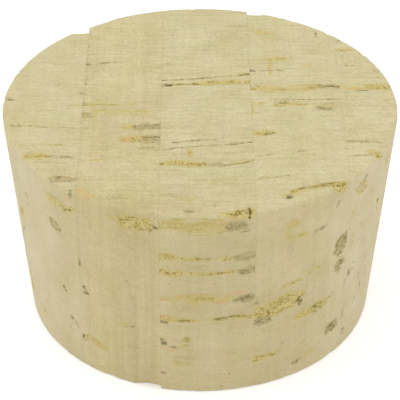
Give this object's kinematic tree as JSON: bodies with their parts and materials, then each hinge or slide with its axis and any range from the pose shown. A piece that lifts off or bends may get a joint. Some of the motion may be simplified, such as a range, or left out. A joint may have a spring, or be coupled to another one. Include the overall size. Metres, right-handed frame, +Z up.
{
  "type": "cork stopper",
  "caption": "Tapered round stopper of natural bark cork, turned from strips glued side by side, that plugs the mouth of a jar or jug.",
  "frame": {"origin": "centre of the small bottom face", "axes": "+Z up along the turning axis to the wide face, +X across the glued strips from left to right as seen from the front, -Y towards the viewer"},
  "size_m": [0.067, 0.067, 0.0385],
  "materials": {
    "cork": "matt natural cork, cut and sanded, with open bark pores"
  },
  "bodies": {
    "root": {"left_end_strip": "cork", "left_strip": "cork", "centre_strip": "cork", "right_strip": "cork", "right_end_strip": "cork"}
  },
  "joints": []
}
